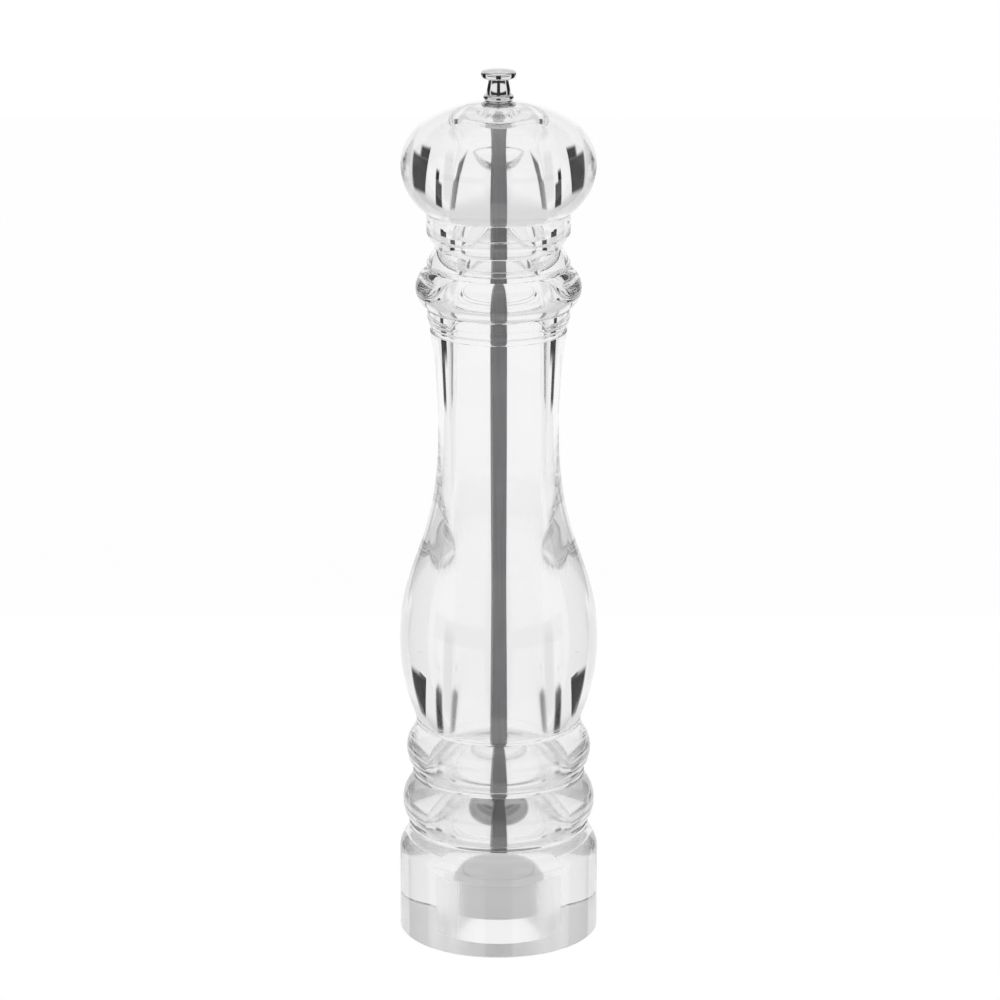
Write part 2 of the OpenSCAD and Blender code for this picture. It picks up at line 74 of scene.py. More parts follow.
class Slot(Enum):
    """The material slots of the record for the modelled pieces."""

    ACRYLIC = "clear_acrylic"
    CHROME = "polished_chrome"
    ALUMINIUM = "drawn_aluminium"
    SPRING = "spring_steel"


# --------------------------------------------------------------------------------------------------
# Modelling
# --------------------------------------------------------------------------------------------------


@dataclass
class Outline:
    """The half outline of a turned piece: points of radius and height, in metres, in order round the section.

    Attributes:
        points: the corners and the points along the arcs.
        step: the longest stretch between two points of an arc.
    """

    points: list[Point] = field(default_factory=list)
    step: float = 0.0008

    def to(self, *corners: Point) -> "Outline":
        """Adds corners.

        Args:
            corners: radius and height of each corner.

        Returns:
            This outline.
        """
        self.points.extend(corners)
        return self

    def arc(self, r_mid: float, z_mid: float, radius: float, start: float, end: float) -> "Outline":
        """Adds an arc about a centre.

        Args:
            r_mid: radius of the arc's centre from the axis.
            z_mid: height of the arc's centre.
            radius: radius of the arc.
            start: angle of the first point, in degrees from outwards.
            end: angle of the last point, in degrees.

        Returns:
            This outline.
        """
        turn = math.radians(end - start)
        count = max(3, math.ceil(abs(turn) * radius / self.step))
        for i in range(count + 1):
            a = math.radians(start) + turn * i / count
            self.points.append((r_mid + radius * math.cos(a), z_mid + radius * math.sin(a)))
        return self

    def bead(self, r: float, z_mid: float, roundness: float, z_from: float, z_to: float) -> "Outline":
        """Adds a convex turned form.

        Args:
            r: largest radius of the form.
            z_mid: height at which it is largest.
            roundness: radius of its arc.
            z_from: height of its first point.
            z_to: height of its last point.

        Returns:
            This outline.
        """
        start = math.degrees(math.asin((z_from - z_mid) / roundness))
        end = math.degrees(math.asin((z_to - z_mid) / roundness))
        return self.arc(r - roundness, z_mid, roundness, start, end)

    def groove(self, r: float, z_mid: float, half_height: float) -> "Outline":
        """Adds a quarter-round groove.

        Args:
            r: radius at the groove's bottom.
            z_mid: height of the groove's bottom.
            half_height: half the groove's height.

        Returns:
            This outline.
        """
        radius = half_height * math.sqrt(2.0)
        return self.arc(r + radius, z_mid, radius, 225.0, 135.0)

    def curve(self, end: Point, pull_start: Point, pull_end: Point) -> "Outline":
        """Adds a smooth curve from the last point.

        Args:
            end: the curve's last point.
            pull_start: the point that the curve sets off towards.
            pull_end: the point that the curve arrives from.

        Returns:
            This outline.
        """
        start = self.points[-1]
        count = math.ceil(math.dist(start, end) / self.step)
        for i in range(1, count + 1):
            t = i / count
            s = 1.0 - t
            weights = (s * s * s, 3 * s * s * t, 3 * s * t * t, t * t * t)
            stops = (start, pull_start, pull_end, end)
            self.points.append(tuple(sum(w * p[k] for w, p in zip(weights, stops)) for k in (0, 1)))
        return self

    def flare(self, r_low: float, z_low: float, roundness: float, z_from: float, z_to: float) -> "Outline":
        """Adds a widening flare, a parabola that is slimmest at its low point.

        Args:
            r_low: smallest radius.
            z_low: height of the smallest radius.
            roundness: radius of curvature at the low point.
            z_from: height where the stretch starts, which is left out.
            z_to: height of the last point.

        Returns:
            This outline.
        """
        count = max(2, math.ceil((z_to - z_from) / self.step))
        for i in range(1, count + 1):
            z = z_from + (z_to - z_from) * i / count
            self.points.append((r_low + (z - z_low) ** 2 / (2.0 * roundness), z))
        return self


def clear_selection() -> None:
    """Leaves edit mode, if it is on, and deselects every object."""
    if bpy.context.mode != "OBJECT":
        bpy.ops.object.mode_set(mode="OBJECT")
    bpy.ops.object.select_all(action="DESELECT")


def settle(piece: bpy.types.Object, smooth_angle: float = 40.0) -> bpy.types.Object:
    """Puts a piece's place into its mesh and smooths its shading.

    Args:
        piece: the piece, in object mode.
        smooth_angle: faces that meet at less than this angle, in degrees, shade as one surface.

    Returns:
        The piece.
    """
    clear_selection()
    piece.select_set(True)
    bpy.context.view_layer.objects.active = piece
    bpy.ops.object.transform_apply(location=True, rotation=True, scale=True)
    bpy.ops.object.shade_smooth_by_angle(angle=math.radians(smooth_angle))
    return piece


def round_edges(piece: bpy.types.Object, width: float, segments: int = 3, angle: float = 30.0) -> None:
    """Rounds a piece's sharp edges with a bevel that is applied at once.

    Args:
        piece: the piece, in object mode.
        width: width of the bevel.
        segments: faces across the bevel.
        angle: edges sharper than this, in degrees, are rounded.
    """
    bpy.context.view_layer.objects.active = piece
    bevel = piece.modifiers.new("round_edges", "BEVEL")
    bevel.width = width
    bevel.segments = segments
    bevel.limit_method = "ANGLE"
    bevel.angle_limit = math.radians(angle)
    bevel.use_clamp_overlap = True
    bpy.ops.object.modifier_apply(modifier=bevel.name)


def turned(
    name: str, outline: Outline, steps: int, closed: bool = True, edge: float = 0.0,
) -> bpy.types.Object:
    """Turns an outline about the Z axis into a closed solid.

    Args:
        name: name of the new piece.
        outline: the half outline. If it isn't closed, its two ends lie on the axis.
        steps: number of faces round the axis.
        closed: whether the last point joins the first.
        edge: width of the rounding on sharp edges, or zero.

    Returns:
        The new piece.
    """
    clear_selection()
    r, z = outline.points[0]
    bpy.ops.mesh.primitive_plane_add(size=outline.step, location=(r, 0.0, z))
    piece = bpy.context.active_object
    piece.name = piece.data.name = name
    bpy.ops.object.mode_set(mode="EDIT")
    bpy.ops.mesh.select_mode(type="VERT")
    bpy.ops.mesh.merge(type="CENTER")
    following = outline.points[1:] + (outline.points[:1] if closed else [])
    for r_next, z_next in following:
        if math.dist((r, z), (r_next, z_next)) > MERGE:
            move = {"value": (r_next - r, 0.0, z_next - z)}
            bpy.ops.mesh.extrude_vertices_move(TRANSFORM_OT_translate=move)
            r, z = r_next, z_next
    bpy.ops.mesh.select_all(action="SELECT")
    bpy.ops.mesh.remove_doubles(threshold=MERGE)
    bpy.ops.mesh.spin(steps=steps, angle=FULL_TURN, center=(0.0, 0.0, 0.0), axis=(0.0, 0.0, 1.0))
    bpy.ops.mesh.select_all(action="SELECT")
    bpy.ops.mesh.remove_doubles(threshold=MERGE)
    bpy.ops.mesh.normals_make_consistent(inside=False)
    bpy.ops.object.mode_set(mode="OBJECT")
    settle(piece)
    if edge > 0.0:
        round_edges(piece, edge)
        settle(piece)
    return piece


# --------------------------------------------------------------------------------------------------
# Finishes
# --------------------------------------------------------------------------------------------------


class Nodes:
    """A short way to write a shader node tree."""

    def __init__(self, tree: bpy.types.NodeTree) -> None:
        """Starts from an empty tree.

        Args:
            tree: the tree to write, whose nodes are removed.
        """
        self.tree = tree
        self.tree.nodes.clear()

    def add(self, kind: str, settings: dict | None = None, **inputs: object) -> bpy.types.Node:
        """Adds a node.

        Args:
            kind: the node's type, without the word ShaderNode.
            settings: properties of the node.
            inputs: socket names, with an underscore for each space, and a value or an output socket for each.

        Returns:
            The new node.
        """
        node = self.tree.nodes.new("ShaderNode" + kind)
        for key, value in (settings or {}).items():
            setattr(node, key, value)
        for key, value in inputs.items():
            self.put(node, key.replace("_", " "), value)
        return node

    def put(self, node: bpy.types.Node, socket: str | int, value: object) -> None:
        """Links or sets one input.

        Args:
            node: the node.
            socket: the input's name or number.
            value: an output socket to link, or a plain value.
        """
        target = node.inputs[int(socket) if str(socket).isdigit() else socket]
        if isinstance(value, bpy.types.NodeSocket):
            self.tree.links.new(value, target)
        else:
            target.default_value = value

    def math(self, operation: str, first: object, second: object = 0.0) -> bpy.types.NodeSocket:
        """Adds a math node.

        Args:
            operation: the operation's name.
            first: the first value or socket.
            second: the second value or socket.

        Returns:
            The node's output.
        """
        node = self.add("Math", {"operation": operation})
        self.put(node, 0, first)
        self.put(node, 1, second)
        return node.outputs[0]

    def mix(self, factor: object, low: object, high: object) -> bpy.types.NodeSocket:
        """Adds a colour mix.

        Args:
            factor: how much of the second colour, or a socket.
            low: the first colour or socket.
            high: the second colour or socket.

        Returns:
            The mixed colour.
        """
        node = self.add("Mix", {"data_type": "RGBA"})
        self.put(node, 0, factor)
        self.put(node, 6, low)
        self.put(node, 7, high)
        return node.outputs[2]


def rgba(colour: Colour) -> tuple[float, float, float, float]:
    """Adds full opacity to a colour.

    Args:
        colour: red, green and blue.

    Returns:
        Red, green, blue and an alpha of one.
    """
    return (*colour, 1.0)


def surface_group() -> bpy.types.ShaderNodeTree:
    """Builds the node group for a fine worked surface, shared by most finishes.

    Returns:
        The group, with inputs for the grain's stretch and scale and for the scale of the slow variation,
        and outputs for the grain and the slow variation.
    """
    found = bpy.data.node_groups.get("worked_surface")
    if found:
        return found
    group = bpy.data.node_groups.new("worked_surface", "ShaderNodeTree")
    sockets = {"Stretch": "NodeSocketVector", "Scale": "NodeSocketFloat", "Detail Scale": "NodeSocketFloat"}
    for name, kind in sockets.items():
        group.interface.new_socket(name=name, in_out="INPUT", socket_type=kind)
    for name in ("Grain", "Cloud"):
        group.interface.new_socket(name=name, in_out="OUTPUT", socket_type="NodeSocketFloat")
    nodes = Nodes(group)
    entry = nodes.add("TexCoord")
    given = group.nodes.new("NodeGroupInput")
    result = group.nodes.new("NodeGroupOutput")
    stretched = nodes.add("Mapping", {"vector_type": "POINT"})
    nodes.put(stretched, "Vector", entry.outputs["Object"])
    nodes.put(stretched, "Scale", given.outputs["Stretch"])
    grain = nodes.add("TexNoise", Vector=stretched.outputs[0], Detail=6.0, Roughness=0.6)
    nodes.put(grain, "Scale", given.outputs["Scale"])
    cloud = nodes.add("TexNoise", Vector=entry.outputs["Object"], Detail=2.0)
    nodes.put(cloud, "Scale", given.outputs["Detail Scale"])
    nodes.put(result, "Grain", grain.outputs[0])
    nodes.put(result, "Cloud", cloud.outputs[0])
    return group


@dataclass(frozen=True)
class Finish:
    """A worked surface finish.

    Attributes:
        name: name of the material.
        dark: colour of the surface where it is darkest.
        light: colour of the surface where it is lightest.
        metallic: how metallic it is.
        smooth: roughness where the surface is smoothest.
        rough: roughness where it is roughest.
        stretch: how the grain is stretched along X, Y and Z.
        scale: how fine the grain is.
        cloud: how fine the slow variation is.
        relief: depth of the grain, in metres.
        anisotropic: how much the grain smears reflections.
        edge: radius that sharp edges seem to have, in metres.
    """

    name: str
    dark: Colour
    light: Colour
    metallic: float = 0.0
    smooth: float = 0.3
    rough: float = 0.45
    stretch: tuple[float, float, float] = (1.0, 1.0, 1.0)
    scale: float = 900.0
    cloud: float = 60.0
    relief: float = 0.00001
    anisotropic: float = 0.0
    edge: float = 0.0002

    def material(self) -> bpy.types.Material:
        """Builds the material, once.

        Returns:
            The material.
        """
        found = bpy.data.materials.get(self.name)
        if found:
            return found
        made = bpy.data.materials.new(self.name)
        made.use_nodes = True
        nodes = Nodes(made.node_tree)
        surface = made.node_tree.nodes.new("ShaderNodeGroup")
        surface.node_tree = surface_group()
        nodes.put(surface, "Stretch", self.stretch)
        nodes.put(surface, "Scale", self.scale)
        nodes.put(surface, "Detail Scale", self.cloud)
        grain, cloud = surface.outputs["Grain"], surface.outputs["Cloud"]
        blend = nodes.math("MULTIPLY", nodes.math("ADD", grain, cloud), 0.5)
        colour = nodes.mix(blend, rgba(self.dark), rgba(self.light))
        rough = nodes.add("MapRange", Value=blend)
        nodes.put(rough, "From Min", GRAIN_SPAN[0])
        nodes.put(rough, "From Max", GRAIN_SPAN[1])
        nodes.put(rough, "To Min", self.smooth)
        nodes.put(rough, "To Max", self.rough)
        eased = nodes.add("Bevel", {"samples": 4}, Radius=self.edge)
        bump = nodes.add("Bump", Strength=0.6, Distance=self.relief, Height=grain, Normal=eased.outputs[0])
        shader = nodes.add("BsdfPrincipled", Metallic=self.metallic, Roughness=rough.outputs[0])
        nodes.put(shader, "Base Color", colour)
        nodes.put(shader, "Normal", bump.outputs[0])
        nodes.put(shader, "Anisotropic", self.anisotropic)
        out = nodes.add("OutputMaterial", Surface=shader.outputs[0])
        out.is_active_output = True
        return made


@dataclass(frozen=True)
class ClearFinish:
    """Polished clear acrylic.

    Attributes:
        name: name of the material.
        tint: colour that the surface passes.
        faint: colour that it passes where it passes least.
        ior: index of refraction.
        smooth: roughness of the polish.
        rough: roughness where the polish is faintly worn.
        stretch: how the waviness is squeezed along X, Y and Z.
        scale: how fine the waviness is.
        cloud: how fine the slow variation is.
        relief: depth of the faint waviness that turning leaves, in metres.
        depth_tint: colour that the acrylic takes on through its depth.
        absorption: how fast the acrylic takes up light, for each metre.
        cut_r: radius of a bore that is left as it was cut, without polish.
        cut_z: height up to which that bore reaches; below zero for none.
        cut_rough: roughness of the bore and of the resting face.
        worn_r: radius within which the chamber's wall is dulled by the pepper.
        worn_z: heights between which the dulling fades out, upwards.
        worn_rough: roughness of the dulled wall at its foot.
    """

    name: str
    tint: Colour = (0.98, 0.98, 0.98)
    faint: Colour = (0.95, 0.95, 0.95)
    ior: float = 1.49
    smooth: float = 0.0
    rough: float = 0.03
    stretch: tuple[float, float, float] = (1.0, 1.0, 4.0)
    scale: float = 60.0
    cloud: float = 35.0
    relief: float = 0.00001
    depth_tint: Colour = (0.62, 0.62, 0.62)
    absorption: float = 4.5
    cut_r: float = 0.0
    cut_z: float = -1.0
    cut_rough: float = 0.3
    worn_r: float = 0.0164
    worn_z: tuple[float, float] = (0.08, 0.14)
    worn_rough: float = 0.12

    def unpolished(self, nodes: Nodes) -> bpy.types.NodeSocket:
        """Adds the roughness of the surfaces that are cut or worn.

        Args:
            nodes: the tree to add to.

        Returns:
            The roughness in the bore, on the resting face and on the chamber's lower wall, else
            zero.
        """
        place_at = nodes.add("SeparateXYZ")
        nodes.put(place_at, 0, nodes.add("TexCoord").outputs["Object"])
        x, y, z = place_at.outputs
        squares = nodes.math("ADD", nodes.math("MULTIPLY", x, x), nodes.math("MULTIPLY", y, y))
        radius = nodes.math("SQRT", squares)
        inside = nodes.math("LESS_THAN", radius, self.cut_r)
        bore = nodes.math("MULTIPLY", inside, nodes.math("LESS_THAN", z, self.cut_z))
        foot = nodes.math("LESS_THAN", z, FOOT_FACE)
        cut = nodes.math("MULTIPLY", nodes.math("MAXIMUM", bore, foot), self.cut_rough)
        fade = nodes.add("MapRange", {"interpolation_type": "SMOOTHSTEP"}, Value=z)
        nodes.put(fade, "From Min", self.worn_z[0])
        nodes.put(fade, "From Max", self.worn_z[1])
        nodes.put(fade, "To Min", self.worn_rough)
        nodes.put(fade, "To Max", 0.0)
        worn = nodes.math("MULTIPLY", nodes.math("LESS_THAN", radius, self.worn_r), fade.outputs[0])
        return nodes.math("MAXIMUM", cut, worn)

    def material(self) -> bpy.types.Material:
        """Builds the material, once.

        Returns:
            The material.
        """
        found = bpy.data.materials.get(self.name)
        if found:
            return found
        made = bpy.data.materials.new(self.name)
        made.use_nodes = True
        nodes = Nodes(made.node_tree)
        surface = made.node_tree.nodes.new("ShaderNodeGroup")
        surface.node_tree = surface_group()
        nodes.put(surface, "Stretch", self.stretch)
        nodes.put(surface, "Scale", self.scale)
        nodes.put(surface, "Detail Scale", self.cloud)
        rough = nodes.add("MapRange", Value=surface.outputs["Cloud"])
        nodes.put(rough, "From Min", CLOUD_SPAN[0])
        nodes.put(rough, "From Max", CLOUD_SPAN[1])
        nodes.put(rough, "To Min", self.smooth)
        nodes.put(rough, "To Max", self.rough)
        bump = nodes.add("Bump", Strength=0.5, Distance=self.relief, Height=surface.outputs["Cloud"])
        roughness: object = rough.outputs[0]
        if self.cut_z > 0.0:
            roughness = nodes.math("MAXIMUM", roughness, self.unpolished(nodes))
        shader = nodes.add("BsdfPrincipled", Roughness=roughness, Normal=bump.outputs[0])
        colour = nodes.mix(surface.outputs["Cloud"], rgba(self.tint), rgba(self.faint))
        nodes.put(shader, "Base Color", colour)
        nodes.put(shader, "Metallic", 0.0)
        nodes.put(shader, "IOR", self.ior)
        nodes.put(shader, "Transmission Weight", 1.0)
        out = nodes.add("OutputMaterial", Surface=shader.outputs[0])
        inside = nodes.add("VolumeAbsorption", Color=rgba(self.depth_tint), Density=self.absorption)
        nodes.put(out, "Volume", inside.outputs[0])
        return made


ACRYLIC = ClearFinish("finish_acrylic")
BORED_ACRYLIC = ClearFinish("finish_acrylic_bored", cut_r=0.0158, cut_z=0.0219)
CHROME = Finish(
    "finish_chrome", (0.74, 0.74, 0.75), (0.84, 0.84, 0.85), 1.0, 0.04, 0.1,
    scale=400.0, relief=2e-6,
)
ALUMINIUM = Finish(
    "finish_aluminium", (0.03, 0.03, 0.035), (0.38, 0.38, 0.39), 1.0, 0.3, 0.45,
    stretch=(1.0, 1.0, 0.02), scale=1800.0, cloud=30.0, relief=8e-6, anisotropic=0.4,
)
STEEL = Finish(
    "finish_steel", (0.5, 0.5, 0.51), (0.64, 0.64, 0.65), 1.0, 0.2, 0.35,
    stretch=(1.0, 1.0, 6.0), scale=1200.0,
)
SPRING_WIRE = Finish("finish_spring", (0.38, 0.38, 0.4), (0.52, 0.52, 0.54), 1.0, 0.25, 0.4, scale=1500.0)
NYLON = Finish(
    "finish_nylon", (0.84, 0.84, 0.84), (0.9, 0.9, 0.9), 0.0, 0.4, 0.55,
    scale=1400.0, relief=1.5e-5,
)
ACETAL = Finish("finish_acetal", (0.78, 0.78, 0.77), (0.85, 0.85, 0.84), 0.0, 0.3, 0.4, scale=900.0)
CERAMIC = Finish(
    "finish_ceramic", (0.7, 0.7, 0.69), (0.8, 0.8, 0.79), 0.0, 0.55, 0.75,
    scale=2200.0, relief=3e-5,
)


def dress(piece: bpy.types.Object, finish: Finish | ClearFinish) -> None:
    """Gives a piece one finish all over.

    Args:
        piece: the piece or the CAD node.
        finish: its finish.
    """
    piece.data.materials.clear()
    piece.data.materials.append(finish.material())


def place(piece: bpy.types.Object, body: Body, slot: Slot, *nodes: str) -> None:
    """Makes a finished piece part of the mill.

    Args:
        piece: the piece, in place.
        body: the body it rides on.
        slot: the material slot of the record for the piece; not used.
        nodes: the CAD nodes that it stands for.
    """
    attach(piece, body.value)
    if nodes:
        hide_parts(*nodes)
    log.info("%s: %d faces on %s", piece.name, len(piece.data.polygons), body.value)


# --------------------------------------------------------------------------------------------------
# The mill
# --------------------------------------------------------------------------------------------------


@dataclass
class BodyShell:
    """The clear turned body, with its chamber and the bore and ledge for the mechanism."""

    height: float = 0.2444
    collar_r: float = 0.0345
    collar_h: float = 0.0288
    shoulder_round: float = 0.0079
    foot_bevel: float = 0.0004
    groove_low: Point = (0.031, 0.0384)
    ring_low: Point = (0.0333, 0.0468)
    ring_low_round: float = 0.0114
    groove_mid: Point = (0.0294, 0.0575)
    ring_up: Point = (0.0319, 0.066)
    ring_up_round: float = 0.0108
    groove_bulb: Point = (0.0282, 0.0763)
    groove_half_h: float = 0.0009
    bulb: Point = (0.0342, 0.1056)
    bulb_round: float = 0.072
    bulb_pull: float = 0.028
    waist: Point = (0.02065, 0.18)
    waist_pull: float = 0.0416
    flare_round: float = 0.235
    step_groove_r: float = 0.0223
    step_groove_drop: float = 0.0038
    step_r: float = 0.0243
    step_h: float = 0.0032
    bead_r: float = 0.0282
    bead_h: float = 0.014
    bead_round: float = 0.0073
    lip_r: float = 0.0243
    lip_h: float = 0.0022
    lip_bevel_h: float = 0.005
    joint_r: float = 0.0214
    chamber_r: float = 0.0162
    bore_r: float = 0.0141
    rest_z: float = 0.0218
    edge: float = 0.0003
    facets: int = 192

    def outline(self) -> Outline:
        """Draws the closed section of the body, outside first.

        Returns:
            The section.
        """
        half = self.groove_half_h
        lip_z = self.height - self.lip_bevel_h
        bead_top = lip_z - self.lip_h
        bead_low = bead_top - self.bead_h
        step_z = bead_low - self.step_h
        thin_z = step_z - self.step_groove_drop
        made = Outline()
        made.to((self.collar_r - self.foot_bevel, 0.0), (self.collar_r, self.foot_bevel))
        shoulder_end = self.groove_low[1] - 2.0 * half
        made.bead(self.collar_r, self.collar_h, self.shoulder_round, self.collar_h, shoulder_end)
        made.groove(*self.groove_low, half)
        ring_from, ring_to = self.groove_low[1] + half, self.groove_mid[1] - half
        made.bead(*self.ring_low, self.ring_low_round, ring_from, ring_to)
        made.groove(*self.groove_mid, half)
        ring_from, ring_to = self.groove_mid[1] + half, self.groove_bulb[1] - half
        made.bead(*self.ring_up, self.ring_up_round, ring_from, ring_to)
        made.groove(*self.groove_bulb, half)
        made.bead(*self.bulb, self.bulb_round, self.groove_bulb[1] + half, self.bulb[1])
        fullest = (self.bulb[0], self.bulb[1] + self.bulb_pull)
        slimmest = (self.waist[0], self.waist[1] - self.waist_pull)
        made.curve(self.waist, fullest, slimmest)
        made.flare(*self.waist, self.flare_round, self.waist[1], thin_z - half)
        made.groove(self.step_groove_r, thin_z, half)
        made.flare(*self.waist, self.flare_round, thin_z + half, step_z)
        made.to((self.step_r, step_z), (self.step_r, bead_low))
        made.bead(self.bead_r, (bead_low + bead_top) / 2.0, self.bead_round, bead_low, bead_top)
        made.to((self.lip_r, bead_top), (self.lip_r, lip_z), (self.joint_r, self.height))
        made.to((self.chamber_r, self.height), (self.chamber_r, self.rest_z))
        made.to((self.bore_r, self.rest_z), (self.bore_r, 0.0))
        return made

    def build(self) -> None:
        """Turns the body and dresses it."""
        shell = turned("body_shell_clear", self.outline(), self.facets, edge=self.edge)
        dress(shell, BORED_ACRYLIC)
        place(shell, Body.BODY, Slot.ACRYLIC, "body_shell")


@dataclass
class HeadShell:
    """The clear domed head, with its hollow and the centring ring that is glued into it."""

    bottom: float = 0.2446
    joint_r: float = 0.0214
    band_r: float = 0.02445
    band_bevel_h: float = 0.0047
    band_top: float = 0.012
    undercut_r: float = 0.0237
    undercut_h: float = 0.0007
    head_r: float = 0.03305
    mid_h: float = 0.0282
    low_round: float = 0.0196
    rim_round: float = 0.0164
    dome_h: float = 0.0494
    seat_drop: float = 0.001
    neck_bore_r: float = 0.016
    neck_bore_h: float = 0.0116
    hollow_r: float = 0.0162
    hollow_h: float = 0.0284
    hollow_round: float = 0.0073
    hollow_cone_h: float = 0.0004
    boss_r: float = 0.0062
    boss_h: float = 0.003
    ring_bore_r: float = 0.0126
    ring_reach: float = 0.0074
    ring_glued: float = 0.005
    bush_r: float = 0.0045
    edge: float = 0.0003
    facets: int = 192

    @property
    def seat_z(self) -> float:
        """Height of the flat seat under the knob.

        Returns:
            The height, in metres.
        """
        return self.bottom + self.dome_h - self.seat_drop

    def outline(self) -> Outline:
        """Draws the closed section of the head and its ring, outside first.

        Returns:
            The section.
        """
        mid_z = self.bottom + self.mid_h
        band_top_z = self.bottom + self.band_top
        rim_in = self.head_r - self.rim_round
        rise = self.dome_h - self.mid_h
        dome_round = (rim_in ** 2 + rise ** 2 - self.rim_round ** 2) / (2.0 * (rise - self.rim_round))
        dome_mid = self.bottom + self.dome_h - dome_round
        rim_angle = math.degrees(math.atan2(mid_z - dome_mid, rim_in))
        seat_angle = math.degrees(math.asin((self.seat_z - dome_mid) / dome_round))
        hollow_z = self.bottom + self.neck_bore_h
        wall_z = hollow_z + self.hollow_cone_h
        ring_top = self.bottom + self.ring_glued
        ring_low = self.bottom - self.ring_reach
        made = Outline()
        made.to((self.joint_r, self.bottom), (self.band_r, self.bottom + self.band_bevel_h))
        made.to((self.band_r, band_top_z), (self.undercut_r, band_top_z))
        made.bead(self.head_r, mid_z, self.low_round, band_top_z + self.undercut_h, mid_z)
        made.arc(rim_in, mid_z, self.rim_round, 0.0, rim_angle)
        made.arc(0.0, dome_mid, dome_round, rim_angle, seat_angle)
        ceiling_z = wall_z + self.hollow_h
        boss_z = ceiling_z - self.boss_h
        corner = self.hollow_round
        made.to((self.bush_r, self.seat_z), (self.bush_r, boss_z))
        made.to((self.boss_r, boss_z), (self.boss_r, ceiling_z))
        made.arc(self.hollow_r - corner, ceiling_z - corner, corner, 90.0, 0.0)
        made.to((self.hollow_r, wall_z), (self.neck_bore_r, hollow_z), (self.neck_bore_r, ring_top))
        made.to((self.ring_bore_r, ring_top), (self.ring_bore_r, ring_low))
        made.to((self.neck_bore_r, ring_low), (self.neck_bore_r, self.bottom))
        return made

    def build(self) -> None:
        """Turns the head and dresses it."""
        shell = turned("head_shell_clear", self.outline(), self.facets, edge=self.edge)
        dress(shell, ACRYLIC)
        place(shell, Body.HEAD, Slot.ACRYLIC, "head_shell", "centring_ring")


@dataclass
class TopKnob:
    """The polished knob that clamps the head and sets the grind."""

    base_r: float = 0.0043
    base_h: float = 0.0006
    collar_r: float = 0.0052
    collar_h: float = 0.0023
    neck_low_r: float = 0.0041
    neck_up_r: float = 0.0034
    neck_h: float = 0.0054
    base_lead: float = 0.0005
    collar_arc: float = 80.0
    neck_pull: float = 0.0018
    disc_r: float = 0.006
    disc_h: float = 0.0029
    disc_round: float = 0.0009
    dome_h: float = 0.0005
    bore_r: float = 0.00208
    bore_h: float = 0.0078
    facets: int = 128

    def outline(self, bottom: float) -> Outline:
        """Draws the knob's section, from the bore's top round to the middle of the dome.

        Args:
            bottom: height of the knob's lower edge.

        Returns:
            The section.
        """
        collar_z = bottom + self.base_h
        neck_z = collar_z + self.collar_h
        disc_z = neck_z + self.neck_h
        top = disc_z + self.disc_h
        flat_r = self.disc_r - self.disc_round
        dome_round = (flat_r ** 2 + self.dome_h ** 2) / (2.0 * self.dome_h)
        dome_edge = math.degrees(math.acos(flat_r / dome_round))
        made = Outline(step=0.00018)
        made.to((0.0, bottom + self.bore_h), (self.bore_r, bottom + self.bore_h), (self.bore_r, bottom))
        made.to((self.base_r, bottom), (self.neck_low_r + self.base_lead, collar_z))
        half = self.collar_h / 2.0
        made.arc(self.collar_r - half, collar_z + half, half, -self.collar_arc, self.collar_arc)
        made.to((self.neck_low_r, neck_z))
        pull_low = (self.neck_low_r, neck_z + self.neck_pull)
        pull_up = (self.neck_up_r, disc_z - self.neck_pull)
        made.curve((self.neck_up_r, disc_z), pull_low, pull_up)
        made.arc(flat_r, disc_z + self.disc_round, self.disc_round, -90.0, 0.0)
        made.arc(flat_r, top - self.dome_h - self.disc_round, self.disc_round, 0.0, 90.0)
        made.arc(0.0, top - dome_round, dome_round, dome_edge, 90.0)
        return made

    def build(self) -> None:
        """Turns the knob and dresses it."""
        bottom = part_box("top_knob")[0].z
        knob = turned("top_knob_polished", self.outline(bottom), self.facets, closed=False)
        dress(knob, CHROME)
        place(knob, Body.KNOB, Slot.CHROME, "top_knob")


